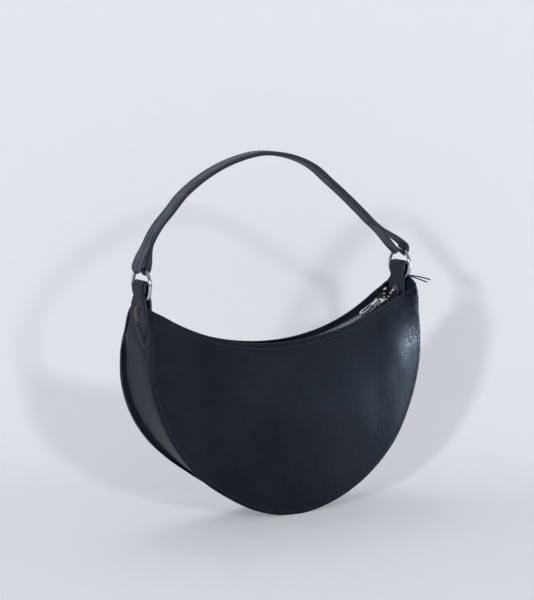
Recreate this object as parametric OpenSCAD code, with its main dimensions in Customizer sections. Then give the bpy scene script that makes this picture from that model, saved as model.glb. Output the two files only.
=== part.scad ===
// Half moon bag: two half moon panels, a flanged gusset whose ends fold through two rings,
// a two-layer strap and a curved metal zip. X runs along the mouth, the front is at -Y, Z is up.
// The origin is at the middle of the rest line, under the lowest stretch of the gusset's edges.

/* [Body] */
// Radius of the round lower edge of the panels
panel_r = 140; // [120:1:160]
// Thickness of the leather of panels, gusset and tabs
leather_t = 1.8; // [1.2:0.1:2.5]
// Depth of the bag over both panels, along the rim
bag_depth = 52; // [40:1:80]
// How far the middle of each panel stands out past its rim
panel_puff = 5; // [1:0.5:12]

/* [Mouth] */
// Height of the mouth's corners above the centre of the panels' round
corner_rise = 49.5; // [44:0.5:60]
// Sag of the mouth's concave edge below its corners
mouth_sag = 41; // [25:1:60]
// Width of the mouth over both panels where the zip closes it
gap_mid = 18; // [16:0.5:24]
// Width of the mouth over both panels at the left corner
gap_left = 29; // [28.5:0.5:40]
// Width of the mouth over both panels at the right corner
gap_right = 46; // [32:1:50]
// Height below the mouth's edge over which the panels lean in
lean_h = 70; // [45:1:90]

/* [Gusset] */
// Width of the gusset's turned out edges
flange_w = 5.5; // [4:0.5:8]
// Clearance between a flange and the panel it is sewn to
seam_gap = 0.15; // [0.1:0.05:0.25]

/* [Tabs] */
// Height of the tabs' folds over the ring centres
fold_top = 3.7; // [2:0.1:5]
// Height of the ring centres above the mouth's corners
ring_rise = 17; // [15:0.5:24]
// Distance from the snap's axis up to the ring's centre
snap_drop = 23; // [23:0.5:28]
// How far outside the mouth's corners the rings and snaps stand
tab_out = 1; // [0:0.1:2]
// How far the inner layer of a tab runs below the snap's axis
tab_tail = 13; // [11:0.5:15]

/* [Rings] */
// Inner diameter of the rings
ring_d = 26; // [25.5:0.5:27]
// Thickness of the rings' wire
wire_t = 3; // [2:0.1:3.4]
// Play between the wire and the leather on each side
wire_play = 0.3; // [0.2:0.05:0.5]

/* [Strap] */
// Width of the strap
strap_w = 15; // [12:0.5:17]
// Thickness of each of the strap's two layers
strap_t = 1.6; // [1.2:0.1:2]
// Rise of the strap's middle above the ring centres
strap_rise = 104; // [80:1:140]
// Inner radius of the strap's loops round the rings
loop_r = 3.7; // [2.6:0.1:4.2]

/* [Zip] */
// Depth of the zip's chain below the mouth's edge
zip_drop = 4; // [3:0.5:6]
// Spacing of the teeth along one row
tooth_pitch = 2.54; // [2.4:0.02:3]
// Length of a tooth across the chain
tooth_w = 2.6; // [2.2:0.1:3]
// Height of a tooth
tooth_h = 2.2; // [1.8:0.1:2.4]
// Width of each woven tape
tape_w = 14; // [12:0.5:16]
// Thickness of each woven tape
tape_t = 0.7; // [0.5:0.1:0.9]

/* [Slider] */
// Length of the slider along the chain
slider_len = 12; // [10:0.5:14]
// Width of the slider across the chain
slider_w = 9.4; // [8.8:0.1:10]
// Thickness of the slider's plates
plate_t = 1.2; // [0.9:0.1:1.5]
// Length of the pull from its pin
pull_len = 21; // [16:0.5:22]
// Width of the pull
pull_w = 7; // [5:0.5:8]
// Thickness of the pull
pull_t = 1.4; // [1:0.1:1.8]

/* [Snaps] */
// Radius of the snap's cap
cap_r = 6.25; // [5:0.25:6.5]
// Height of the cap's dome over the leather
cap_h = 1.8; // [1.2:0.1:2.5]
// Radius of the snap's socket, stud base and back
snap_r = 5; // [4:0.25:5.5]
// Radius of the stud
stud_r = 2; // [1.5:0.1:2.4]
// Radius of the posts that go through the leather
post_r = 1.4; // [1:0.1:1.5]

/* [Hidden] */

$fn = 48;
// Overrun of cuts past a face
over = 0.5;
// Fit between a post and the hole that it fills
post_fit = 0.05;
// Running clearance between the pull's eye and its pin
pin_play = 0.08;

// How much of the round bottom is cut off flat, so that the bag stands
rest_cut = 0.5;
body_cz = panel_r - rest_cut;

// The mouth's edge is an arc about a centre above the bag
corner_x = sqrt(panel_r * panel_r - corner_rise * corner_rise);
corner_z = body_cz + corner_rise;
mouth_r = (corner_x * corner_x + mouth_sag * mouth_sag) / (2 * mouth_sag);
mouth_cz = corner_z - mouth_sag + mouth_r;
mouth_angle = asin(corner_x / mouth_r);
ring_z = corner_z + ring_rise;
snap_x = corner_x + tab_out;

// Share of the left half of the mouth that the zip holds at its middle width
left_flare_share = 0.7;
// Steps of the panels' grids: along the mouth, past the corners, and up
mouth_steps = 28;
side_steps = 4;
rise_steps = 12;
// Angle from the bottom at which the grid's last column stands, short of the vertical rim
last_column = 86;
corner_angle = asin(corner_x / panel_r);

strip_steps = 56;
// Width of the flanges that is left where the gusset's strip ends, and the angle over which they shrink
flange_end_w = 0.6;
flange_turn = 15;

// The tab's local frame has its origin on the snap's axis, in the pocket's middle plane
pocket = wire_t / 2 + wire_play;
snap_z = ring_z - snap_drop;
// Angle from the bottom at which the strip meets the tab's outer layer
strip_end = 180 - asin(min(1, (snap_x + pocket + leather_t / 2) / (panel_r - flange_end_w - leather_t / 2)));
flange_from = strip_end - flange_turn;
wire_r = wire_t / 2;
ring_r = ring_d / 2 + wire_r;
// Play of the strap's loop under the wire, and between the swinging loop and the tab
loop_play = 0.2;
swing_play = 0.3;
// Radius at which the loop's underside swings round the ring's axis
swing_r = ring_d / 2 - loop_play - strap_t;
// Width of the tabs: the swinging loop just clears the corners of their folds
waist_r = swing_r - swing_play;
tab_w = 2 * sqrt(waist_r * waist_r - fold_top * fold_top);
fold_rise = fold_top - leather_t - pocket;
// The handle's swing to each side, and the round waist of a tab that lets the strap pass, from low to high
swing = 90;
waist_margin = 2;
waist_steps = 6;
waist_from = 180 - acos(fold_top / waist_r);
waist_to = swing + asin(strap_w / (2 * swing_r)) + waist_margin;
waist = [for (i = [0 : waist_steps])
    let (a = waist_to + (waist_from - waist_to) * i / waist_steps)
        [waist_r * sin(a), snap_drop + waist_r * cos(a)]];

// Height of the strap's loop centre over the ring's centre
loop_seat = ring_d / 2 - loop_play + loop_r;
// Centre line of the strap between its seams: shares of the corner's distance and of the rise
strap_path_shares = [[-0.957, 0.33], [-0.893, 0.455], [-0.81, 0.565], [-0.702, 0.705], [-0.55, 0.835],
    [-0.382, 0.932], [-0.191, 0.994], [-0.038, 0.998], [0.13, 0.957], [0.282, 0.874], [0.42, 0.74],
    [0.55, 0.61], [0.687, 0.462], [0.78, 0.36]];
spline_steps = 5;
loop_steps = 14;
leg_steps = 8;
// Gap between the lining's end and the outer layer's sewn end
butt_gap = 0.2;

// The chain follows the mouth at a constant depth
chain_r = mouth_r + zip_drop;
// Shares of the mouth's half angle at which the chain starts and ends
chain_start_share = -0.734;
chain_end_share = 0.9;
// Length of the loose tail, and the distance from it to the slider at rest
tail_len = 6.5;
tail_gap = 1.35;
degree_len = chain_r * PI / 180;
chain_start = chain_start_share * mouth_angle;
chain_end = chain_end_share * mouth_angle;
tail_from = chain_end - tail_len / degree_len;
slider_at = tail_from - (slider_len / 2 + tail_gap) / degree_len;
// Half gap between the two rows, which the slider's post runs in
row_gap = 0.6;
tooth_t = 1.1;
// Spread and lift of the loose tail at its end
tail_spread = 4;
tail_lift = 5;
tape_steps = 40;
// Width of tape that always lies against its panel
tape_hem = 1.5;
tape_play = 0.15;
// Clearances between a tape and its panel, and between a tape and its teeth
tape_gap = 0.35;
tooth_gap = 0.35;
stop_len = 3;

// Slider: play over the teeth, height of the side lips' slot, and the lug that holds the pull
chain_play = 0.3;
lip_w = 0.85;
lip_slot = 0.6;
wedge_w = 0.7;
wedge_len = 3;
pin_r = 0.8;
eye_r = 1.75;
ear_t = 1;
ear_gap = 3.6;
pin_z = tooth_h / 2 + chain_play + plate_t + eye_r + pin_play;
// Droop of the pull at rest, towards the closed chain
pull_droop = 3;
// Widths of the pull's neck and frame
pull_neck_w = 3.2;
pull_frame_w = 1.7;

// Snap pieces: wall at the back of the socket, thickness of the back's flange
socket_back = 0.4;
stud_base_t = 1.4;
stud_play = 0.3;
back_t = 0.8;

function clamp(v) = max(0, min(1, v));
function arc_z(x) = mouth_cz - sqrt(mouth_r * mouth_r - x * x);

// Share of the lean at a point: one at the mouth's edge, nothing below the leaning height
function lean(x, z) = pow(clamp(1 - (arc_z(x) - z) / lean_h), 2);

// Width of the mouth over both panels
function mouth_gap(x) = x < 0
    ? gap_mid + (gap_left - gap_mid) * pow(clamp((-x / corner_x - left_flare_share) / (1 - left_flare_share)), 2)
    : gap_mid + (gap_right - gap_mid) * pow(min(x / corner_x, 1), 2);

// Distance of a panel's outer face from the bag's middle plane
function half_depth(x, z) = let (w = lean(x, z))
    bag_depth / 2 - (bag_depth - mouth_gap(x)) / 2 * w
    + panel_puff * (1 - w) * max(0, 1 - (x * x + pow(z - body_cz, 2)) / (panel_r * panel_r));

// Columns of a panel's grid, as angles from the bottom of the rim
panel_columns = concat(
    [for (i = [0 : side_steps - 1]) -last_column + (last_column - corner_angle) * i / side_steps],
    [for (i = [0 : mouth_steps]) -corner_angle + 2 * corner_angle * i / mouth_steps],
    [for (i = [1 : side_steps]) corner_angle + (last_column - corner_angle) * i / side_steps]);

function column_low(x) = max(0, body_cz - sqrt(panel_r * panel_r - x * x));
function column_high(x) = abs(x) > corner_x
    ? body_cz + sqrt(panel_r * panel_r - x * x)
    : arc_z(x);

// One face of a panel: side is -1 at the front and 1 at the rear, inset is the depth below the outer face
function panel_face(side, inset) = [for (a = panel_columns)
    let (x = panel_r * sin(a), low = column_low(x), high = column_high(x))
        [for (j = [0 : rise_steps])
            let (z = low + (high - low) * j / rise_steps)
                [x, side * (half_depth(x, z) - inset), z]]];

// Closed solid between two grids of the same size; flip turns its faces over
module slab(a, b, flip = false) {
    n = len(a);
    m = len(a[0]);
    k = n * m;
    points = concat([for (row = a) for (p = row) p], [for (row = b) for (p = row) p]);
    quads = concat(
        [for (i = [0 : n - 2]) for (j = [0 : m - 2])
            [i * m + j, i * m + j + 1, (i + 1) * m + j + 1, (i + 1) * m + j]],
        [for (i = [0 : n - 2]) for (j = [0 : m - 2])
            [k + i * m + j, k + (i + 1) * m + j, k + (i + 1) * m + j + 1, k + i * m + j + 1]],
        [for (i = [0 : n - 2]) [i * m, (i + 1) * m, k + (i + 1) * m, k + i * m]],
        [for (i = [0 : n - 2])
            [i * m + m - 1, k + i * m + m - 1, k + (i + 1) * m + m - 1, (i + 1) * m + m - 1]],
        [for (j = [0 : m - 2]) [j, k + j, k + j + 1, j + 1]],
        [for (j = [0 : m - 2])
            [(n - 1) * m + j, (n - 1) * m + j + 1, k + (n - 1) * m + j + 1, k + (n - 1) * m + j]]);
    faces = [for (q = quads) each flip
        ? [[q[2], q[1], q[0]], [q[3], q[2], q[0]]]
        : [[q[0], q[1], q[2]], [q[0], q[2], q[3]]]];
    polyhedron(points, faces, convexity = 8);
}

module front_panel() {
    color([0.07, 0.09, 0.14])
        slab(panel_face(-1, 0), panel_face(-1, leather_t), flip = true);
}

module rear_panel() {
    color([0.07, 0.09, 0.14])
        slab(panel_face(1, 0), panel_face(1, leather_t));
}

// Width of the flanges at an angle from the bottom
function flange_at(a) = flange_w + (flange_end_w - flange_w)
    * pow(clamp((abs(a) - flange_from) / (strip_end - flange_from)), 2);

function polar(a, r, y) = [r * sin(a), y, max(0, body_cz - r * cos(a))];

// Half width of the gusset's strip over its flanges
function strip_half(a) = half_depth(panel_r * sin(a), body_cz - panel_r * cos(a)) - leather_t - seam_gap;

// The two faces of the strip: four places across, at the flanges' tips and the web's corners
strip_angles = [for (i = [0 : strip_steps]) -strip_end + 2 * strip_end * i / strip_steps];
strip_outside = [for (a = strip_angles)
    let (h = strip_half(a) - leather_t, w = panel_r - flange_at(a))
        [polar(a, panel_r, -h), polar(a, w, -h), polar(a, w, h), polar(a, panel_r, h)]];
strip_inside = [for (a = strip_angles)
    let (h = strip_half(a), w = panel_r - flange_at(a) - leather_t)
        [polar(a, panel_r, -h), polar(a, w, -h), polar(a, w, h), polar(a, panel_r, h)]];

// Local frame of a tab: +X points outward, the origin is on the snap's axis
module tab_frame(side) {
    translate([side * snap_x, 0, snap_z])
        mirror([side < 0 ? 1 : 0, 0, 0])
            children();
}

fold_z = snap_drop + fold_rise;

// Half width of the tab's root between the panels, at a height over the snap's axis
root_low = body_cz - (panel_r - flange_end_w - leather_t) * cos(strip_end) - snap_z - leather_t;
root_high = corner_z - snap_z;
function rim_x(z) = sqrt(panel_r * panel_r - pow(z - body_cz, 2));
function root_half(side, z) = half_depth(side * rim_x(snap_z + z), snap_z + z) - leather_t - seam_gap;
root_heights = [for (i = [0 : 3]) root_low + (root_high - root_low) * i / 3];
// Share of the way from the root's top to the waist at which the inner layer starts to narrow
inner_share = 0.3;
inner_shoulder = root_high + (waist[0][1] - root_high) * inner_share;

// Outline of a plate across the tab, extruded along the local X axis
module plate(from_x, t) {
    translate([from_x, 0, 0])
        rotate([90, 0, 90])
            linear_extrude(t)
                children();
}

module snap_hole(from_x) {
    translate([from_x - over, 0, 0])
        rotate([0, 90, 0])
            cylinder(r = post_r + post_fit, h = leather_t + 2 * over);
}

// Polygon between an edge and its mirror image
module both_sides(edge) {
    polygon(concat(edge, [for (i = [len(edge) - 1 : -1 : 0]) [-edge[i][0], edge[i][1]]]));
}

module tab_outer_layer(side) {
    edge = concat(
        [for (z = root_heights) [root_half(side, z), z]],
        waist,
        [[tab_w / 2, fold_z]]);
    difference() {
        plate(pocket, leather_t)
            both_sides(edge);
        snap_hole(pocket);
    }
}

module tab_fold() {
    translate([0, 0, fold_z])
        rotate([90, 0, 0])
            linear_extrude(tab_w, center = true)
                difference() {
                    circle(r = pocket + leather_t);
                    circle(r = pocket);
                    translate([-pocket - leather_t - over, -pocket - leather_t - over])
                        square([2 * (pocket + leather_t + over), pocket + leather_t + over]);
                }
}

module tab_inner_layer() {
    difference() {
        plate(-pocket - leather_t, leather_t) {
            both_sides(concat(
                [[tab_w / 2, -tab_tail + tab_w / 2], [tab_w / 2, inner_shoulder]],
                waist,
                [[tab_w / 2, fold_z]]));
            translate([0, -tab_tail + tab_w / 2])
                circle(r = tab_w / 2);
        }
        snap_hole(-pocket - leather_t);
    }
}

module gusset() {
    color([0.09, 0.11, 0.17]) {
        slab(strip_outside, strip_inside, flip = true);
        for (side = [-1, 1])
            tab_frame(side) {
                tab_outer_layer(side);
                tab_fold();
                tab_inner_layer();
            }
    }
}

module ring(side) {
    color([0.78, 0.78, 0.8])
        tab_frame(side)
            translate([0, 0, snap_drop])
                rotate([0, 90, 0])
                    rotate_extrude()
                        translate([ring_r, 0])
                            circle(r = wire_r);
}

// Turned snap pieces: a profile of [radius, distance outward] about the snap's axis
module turned(side) {
    tab_frame(side)
        rotate([0, 90, 0])
            rotate_extrude()
                children();
}

module snap_cap(side) {
    face = pocket + leather_t;
    color([0.12, 0.12, 0.13])
        turned(side) {
            translate([0, face])
                intersection() {
                    scale([cap_r, cap_h])
                        circle(r = 1);
                    square([cap_r, cap_h]);
                }
            translate([0, pocket - socket_back])
                square([post_r, leather_t + socket_back]);
        }
}

module snap_socket(side) {
    depth = 2 * pocket - stud_base_t;
    color([0.6, 0.6, 0.62])
        turned(side)
            translate([0, pocket - depth])
                difference() {
                    square([snap_r, depth]);
                    square([stud_r + stud_play, depth - socket_back]);
                    square([post_r + post_fit, depth + over]);
                }
}

module snap_stud(side) {
    color([0.6, 0.6, 0.62])
        turned(side)
            translate([0, -pocket])
                difference() {
                    union() {
                        square([snap_r, stud_base_t]);
                        square([stud_r, stud_base_t + pocket]);
                    }
                    translate([0, -over])
                        square([post_r + post_fit, over + socket_back]);
                }
}

module snap_post(side) {
    color([0.6, 0.6, 0.62])
        turned(side) {
            translate([0, -pocket - leather_t - back_t])
                difference() {
                    square([snap_r, back_t]);
                    translate([0, -over])
                        square([post_r, over + back_t / 2]);
                }
            translate([0, -pocket - leather_t])
                square([post_r, leather_t + socket_back]);
        }
}

// Places of the handle in the XZ plane
function unit(v) = v / norm(v);
function turn(v) = [-v[1], v[0]];

strap_points = [for (s = strap_path_shares) [s[0] * corner_x, ring_z + s[1] * strap_rise]];
strap_last = len(strap_points) - 1;
left_seat = [-snap_x, ring_z + loop_seat];
right_seat = [snap_x, ring_z + loop_seat];

// Smooth curve through the strap's points, with the ring seats as the points beyond its ends
strap_guides = concat([left_seat], strap_points, [right_seat]);
function spline(p, t) = 0.5 * (2 * p[1] + (p[2] - p[0]) * t
    + (2 * p[0] - 5 * p[1] + 4 * p[2] - p[3]) * t * t
    + (3 * p[1] - p[0] - 3 * p[2] + p[3]) * t * t * t);
strap_line = concat(
    [for (i = [0 : strap_last - 1]) for (j = [0 : spline_steps - 1])
        spline([for (k = [0 : 3]) strap_guides[i + k]], j / spline_steps)],
    [strap_points[strap_last]]);

// Unit direction of a line of points at each of them
function tangents(p) = [for (i = [0 : len(p) - 1])
    unit(p[min(i + 1, len(p) - 1)] - p[max(i - 1, 0)])];
function shifted(p, d) = let (t = tangents(p)) [for (i = [0 : len(p) - 1]) p[i] + d * turn(t[i])];
function backwards(p) = [for (i = [len(p) - 1 : -1 : 0]) p[i]];

// Curve from one point and direction to another
function leg(p, u, q, v) = let (s = norm(q - p))
    [for (i = [0 : leg_steps])
        let (t = i / leg_steps)
            (2 * pow(t, 3) - 3 * t * t + 1) * p + (pow(t, 3) - 2 * t * t + t) * s * u
            + (3 * t * t - 2 * pow(t, 3)) * q + (pow(t, 3) - t * t) * s * v];

// The outer layer's line round one ring: out along the first side, round the wire and back
function loop_line(seam, inward, seat, first) = let (
        axis = unit(seam - seat),
        r = loop_r + strap_t / 2,
        side = first * turn(axis),
        n = first * turn(inward) * -1,
        out = leg(seam + strap_t / 2 * -n, -inward, seat + r * side, -axis),
        bend = [for (i = [1 : loop_steps - 1])
            let (a = 180 * i / loop_steps)
                seat + r * (cos(a) * side - sin(a) * axis)],
        back = leg(seat - r * side, axis, seam + strap_t / 2 * n, inward))
    concat(out, bend, back);

seam_left = strap_line[0];
seam_right = strap_line[len(strap_line) - 1];
strap_tangents = tangents(strap_line);
dir_left = strap_tangents[0];
dir_right = -strap_tangents[len(strap_line) - 1];

// One strap layer: a line of points with a thickness, as wide as the strap
module band(line, t) {
    rotate([90, 0, 0])
        linear_extrude(strap_w, center = true)
            polygon(concat(shifted(line, t / 2), backwards(shifted(line, -t / 2))));
}

// A loop follows the ring: its line is turned about the axis through both rings, as wide as the strap
module ring_loop(line) {
    reach = 2 * loop_seat + strap_rise;
    intersection() {
        translate([0, 0, ring_z])
            rotate([0, -90, 0])
                rotate_extrude()
                    polygon([for (p = concat(shifted(line, strap_t / 2), backwards(shifted(line, -strap_t / 2))))
                        [p[1] - ring_z, -p[0]]]);
        translate([-panel_r - reach, -strap_w / 2, ring_z])
            cube([2 * (panel_r + reach), strap_w, reach]);
    }
}

module strap_outer() {
    color([0.1, 0.12, 0.18]) {
        band(shifted(strap_line, strap_t / 2), strap_t);
        ring_loop(loop_line(seam_left, dir_left, left_seat, 1));
        ring_loop(loop_line(seam_right, dir_right, right_seat, -1));
    }
}

module strap_lining() {
    inner = [for (i = [0 : len(strap_line) - 1])
        let (end = i == 0 ? butt_gap : i == len(strap_line) - 1 ? -butt_gap : 0)
            strap_line[i] + end * strap_tangents[i]];
    color([0.16, 0.18, 0.24])
        band(shifted(inner, -strap_t / 2), strap_t);
}

// Share of the loose tail at an angle along the chain
function tail_share(a) = clamp((a - tail_from) / (chain_end - tail_from));
function tail_y(a) = tail_spread * pow(tail_share(a), 2);
function tail_z(a) = tail_lift * pow(tail_share(a), 2);
function chain_point(a, y, up) = [(chain_r - up) * sin(a), y, mouth_cz - (chain_r - up) * cos(a)];

// Puts its children on the chain at an angle, with +X along the chain and +Z to the mouth's centre
module on_chain(a) {
    translate([0, 0, mouth_cz])
        rotate([0, -a, 0])
            translate([0, 0, -chain_r])
                children();
}

tooth_step = tooth_pitch / degree_len;

module teeth(side) {
    first = chain_start + (side < 0 ? 0 : tooth_step / 2);
    color([0.75, 0.75, 0.77])
        for (a = [first : tooth_step : chain_end])
            on_chain(a)
                translate([0, side * (row_gap + tooth_w / 2 + tail_y(a)), tail_z(a)])
                    cube([tooth_t, tooth_w, tooth_h], center = true);
}

// One face of a tape: from the teeth to the panel, then down along the panel's inner face
tape_angles = [for (i = [0 : tape_steps]) chain_start + (chain_end - chain_start) * i / tape_steps];
function tape_face(side, inset) = [for (a = tape_angles)
    let (
        x = chain_r * sin(a),
        z = mouth_cz - chain_r * cos(a),
        near = row_gap + tooth_w + tooth_gap + tail_y(a),
        wall = half_depth(x, z) - leather_t - tape_gap,
        flat = min(wall - tape_play, near + tape_w - tape_hem),
        hem = max(tape_hem, tape_w - (flat - near)),
        low = z - hem,
        foot = half_depth(x, low) - leather_t - tape_gap,
        lift = tail_z(a))
    [[x, side * near, z + lift + tape_t / 2 - inset],
        [x, side * (flat - inset), z + lift * (1 - tail_share(a)) + tape_t / 2 - inset],
        [x, side * (flat + (foot - wall) / 2 - inset), (z + low) / 2],
        [x, side * (flat + (foot - wall) - inset), low]]];

module zip_tape_front() {
    color([0.04, 0.05, 0.08])
        slab(tape_face(-1, 0), tape_face(-1, tape_t));
}

module zip_tape_rear() {
    color([0.04, 0.05, 0.08])
        slab(tape_face(1, 0), tape_face(1, tape_t), flip = true);
}

module zip_bottom_stop() {
    width = 2 * (row_gap + tooth_w);
    color([0.75, 0.75, 0.77])
        on_chain(chain_start)
            translate([-tooth_t / 2 - seam_gap - stop_len, -width / 2, -tooth_h / 2])
                cube([stop_len, width, tooth_h]);
}

module zip_top_stops() {
    color([0.75, 0.75, 0.77])
        for (side = [-1, 1])
            on_chain(chain_end)
                translate([tooth_t / 2 + seam_gap + stop_len / 2,
                    side * (row_gap + tooth_w / 2 + tail_spread), tail_lift])
                    cube([stop_len, tooth_w, tooth_h], center = true);
}

module slider_plate(bottom) {
    translate([0, 0, bottom])
        linear_extrude(plate_t)
            intersection() {
                square([slider_len, slider_w], center = true);
                translate([slider_len / 2 - slider_w / 2, 0])
                    scale([2, 1])
                        circle(r = slider_w / 2 + over / 2);
            }
}

module zip_slider() {
    inner = tooth_h / 2 + chain_play;
    lip = inner - lip_slot;
    lug_h = pin_z - inner;
    color([0.8, 0.8, 0.82])
        on_chain(slider_at) {
            slider_plate(inner);
            slider_plate(-inner - plate_t);
            for (side = [-1, 1]) {
                for (low = [lip_slot, -inner])
                    translate([0, side * (slider_w / 2 - lip_w / 2), low + lip / 2])
                        cube([slider_len / 2, lip_w, lip], center = true);
                translate([-eye_r, side * (ear_gap / 2 + ear_t / 2) - ear_t / 2, inner])
                    cube([2 * eye_r, ear_t, lug_h]);
            }
            translate([slider_len / 2 - wedge_len, -wedge_w / 2, -inner])
                cube([wedge_len, wedge_w, 2 * inner]);
            translate([0, 0, pin_z])
                rotate([90, 0, 0])
                    cylinder(r = pin_r, h = ear_gap + 2 * ear_t, center = true);
        }
}

module zip_pull() {
    tip = pull_len - pull_w / 2;
    color([0.8, 0.8, 0.82])
        on_chain(slider_at)
            translate([0, 0, pin_z])
                rotate([0, -pull_droop, 0])
                    difference() {
                        union() {
                            rotate([90, 0, 0])
                                cylinder(r = eye_r, h = ear_gap - 2 * pin_play, center = true);
                            translate([0, 0, -pull_t / 2])
                                linear_extrude(pull_t)
                                    difference() {
                                        union() {
                                            translate([-tip, 0])
                                                circle(r = pull_w / 2);
                                            polygon([[0, pull_neck_w / 2], [-tip, pull_w / 2],
                                                [-tip, -pull_w / 2], [0, -pull_neck_w / 2]]);
                                        }
                                        translate([-tip, 0])
                                            circle(r = pull_w / 2 - pull_frame_w);
                                        translate([-tip, -pull_w / 2 + pull_frame_w])
                                            square([tip - pull_w, pull_w - 2 * pull_frame_w]);
                                    }
                        }
                        rotate([90, 0, 0])
                            cylinder(r = pin_r + pin_play, h = ear_gap + 2 * over, center = true);
                    }
}

front_panel();
rear_panel();
gusset();
ring(-1);  // left_ring
ring(1);  // right_ring
snap_cap(-1);  // left_snap_cap
snap_socket(-1);  // left_snap_socket
snap_stud(-1);  // left_snap_stud
snap_post(-1);  // left_snap_post
snap_cap(1);  // right_snap_cap
snap_socket(1);  // right_snap_socket
snap_stud(1);  // right_snap_stud
snap_post(1);  // right_snap_post
strap_outer();
strap_lining();
zip_tape_front();
zip_tape_rear();
teeth(-1);  // zip_teeth_front
teeth(1);  // zip_teeth_rear
zip_bottom_stop();
zip_top_stops();
zip_slider();
zip_pull();
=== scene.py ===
import math
import random

import bpy
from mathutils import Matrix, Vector, noise


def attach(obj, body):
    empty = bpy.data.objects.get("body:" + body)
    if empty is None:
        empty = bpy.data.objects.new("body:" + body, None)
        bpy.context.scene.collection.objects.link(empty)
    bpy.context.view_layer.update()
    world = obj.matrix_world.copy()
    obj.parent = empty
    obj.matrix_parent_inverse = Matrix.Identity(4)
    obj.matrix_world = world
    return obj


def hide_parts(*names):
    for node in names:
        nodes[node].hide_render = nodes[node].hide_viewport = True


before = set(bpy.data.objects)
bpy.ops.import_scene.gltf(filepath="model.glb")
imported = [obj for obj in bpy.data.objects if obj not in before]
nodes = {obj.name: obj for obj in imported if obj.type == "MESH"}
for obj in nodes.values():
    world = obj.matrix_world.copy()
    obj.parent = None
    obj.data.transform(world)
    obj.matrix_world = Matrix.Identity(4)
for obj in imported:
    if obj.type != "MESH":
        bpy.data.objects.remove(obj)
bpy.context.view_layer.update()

random.seed(7)
MM = 0.001

# Camera, in metres and degrees

AIM = Vector((-9.8, 0, 184.6)) * MM
AZIMUTH, ELEVATION, CAMERA_AWAY = -33, 8, 1.54
LENS, SENSOR, CLIP_START = 108, 36, 0.05


def towards(azimuth, elevation):
    """Unit vector from the bag to a viewer or a light; azimuth 0 is straight in front of it."""
    a, e = math.radians(azimuth), math.radians(elevation)
    return Vector((math.sin(a) * math.cos(e), -math.cos(a) * math.cos(e), math.sin(e)))


camera = bpy.data.objects.new("camera", bpy.data.cameras.new("camera"))
bpy.context.scene.collection.objects.link(camera)
bpy.context.scene.camera = camera
camera.location = AIM + CAMERA_AWAY * towards(AZIMUTH, ELEVATION)
camera.rotation_euler = (AIM - camera.location).to_track_quat("-Z", "Y").to_euler()
camera.data.lens = LENS
camera.data.sensor_width = SENSOR
camera.data.sensor_fit = "AUTO"
camera.data.clip_start = CLIP_START

# Sizes in millimetres, as in the CAD

PANEL_R = 140
LEATHER = 1.8
DEPTH = 52
PUFF = 5
CORNER_RISE = 49.5
SAG = 41
GAP_MID, GAP_LEFT, GAP_RIGHT = 18, 29, 46
GAP_LEFT_FROM = 0.7
LEAN_H = 70
FLANGE = 5.5
SEAM = 0.15
REST_CUT = 0.5
TAB_OUT = 1
TAB_TAIL = 13
FOLD_TOP = 3.7
WAIST_MORE = 2
RING_RISE = 17
SNAP_DROP = 23
RING_D = 26
WIRE = 3
WIRE_PLAY = 0.3
STRAP_W = 15
STRAP_T = 1.6
STRAP_RISE = 104
LOOP_R = 3.7
LOOP_PLAY = 0.2
SWING_PLAY = 0.3
CHAIN_DROP = 4

CORNER_X = math.sqrt(PANEL_R**2 - CORNER_RISE**2)
SNAP_X = CORNER_X + TAB_OUT
POCKET = WIRE / 2 + WIRE_PLAY
BODY_CZ = PANEL_R - REST_CUT
CORNER_Z = BODY_CZ + CORNER_RISE
RING_Z = CORNER_Z + RING_RISE
SNAP_Z = RING_Z - SNAP_DROP
FOLD_Z = RING_Z + FOLD_TOP - LEATHER - POCKET
MOUTH_R = (CORNER_X**2 + SAG**2) / (2 * SAG)
MOUTH_CZ = CORNER_Z - SAG + MOUTH_R
CHAIN_R = MOUTH_R + CHAIN_DROP
SWING_R = RING_D / 2 - LOOP_PLAY - STRAP_T
WAIST_R = SWING_R - SWING_PLAY
TAB_W = 2 * math.sqrt(WAIST_R**2 - FOLD_TOP**2)
WAIST_END = 90 + math.degrees(math.asin(STRAP_W / 2 / SWING_R)) + WAIST_MORE
WAIST_LOW = WAIST_R * math.cos(math.radians(WAIST_END))
LOOP_SEAT = RING_D / 2 - LOOP_PLAY + LOOP_R

# Shape of the bag

# Slack of the panels: height, pitch along X and Z, and seed; it fades out at the rim and the mouth
SLACK = ((1.1, 0.016, 0.02, 3.1), (0.35, 0.05, 0.045, 9.7))
SLACK_RIM, SLACK_MOUTH = 30, 18
# Bends of the panels' right ends: depth, the X where it starts and the width over which it grows
FRONT_BEND, FRONT_BEND_X, FRONT_BEND_W, FRONT_BEND_POWER = 3.6, 92, 48, 1.4
FRONT_BEND_Z, FRONT_BEND_H = 25, 60
REAR_BEND, REAR_BEND_X, REAR_BEND_W = 1.2, 112, 28
BEND_TOP, BEND_FADE = 4, 40
ROLL, ROLL_W = 0.7, 2.6
# Sag of the lower left: how far the rims lie inside the round, by degrees from the bottom
FRONT_SLUMP = ((-10, 0), (0, 0.4), (15, 3.8), (30, 7.2), (45, 6.9), (60, 6.0), (75, 3.2), (90, 0))
REAR_SLUMP = ((-10, 0), (0, 0.8), (10, 5.2), (20, 9.4), (30, 11.8), (40, 11.6), (50, 8.8),
              (60, 5.0), (70, 2.0), (80, 0.4), (90, 0))
SLUMP_FRONT_Y, SLUMP_DEPTH, SLUMP_POWER = 24, 47, 2.4
CURL = 0.75
FLOOR_Z = 0.02


def clamp(v, low=0.0, high=1.0):
    return max(low, min(high, v))


def ease(v):
    v = clamp(v)
    return v * v * (3 - 2 * v)


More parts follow.
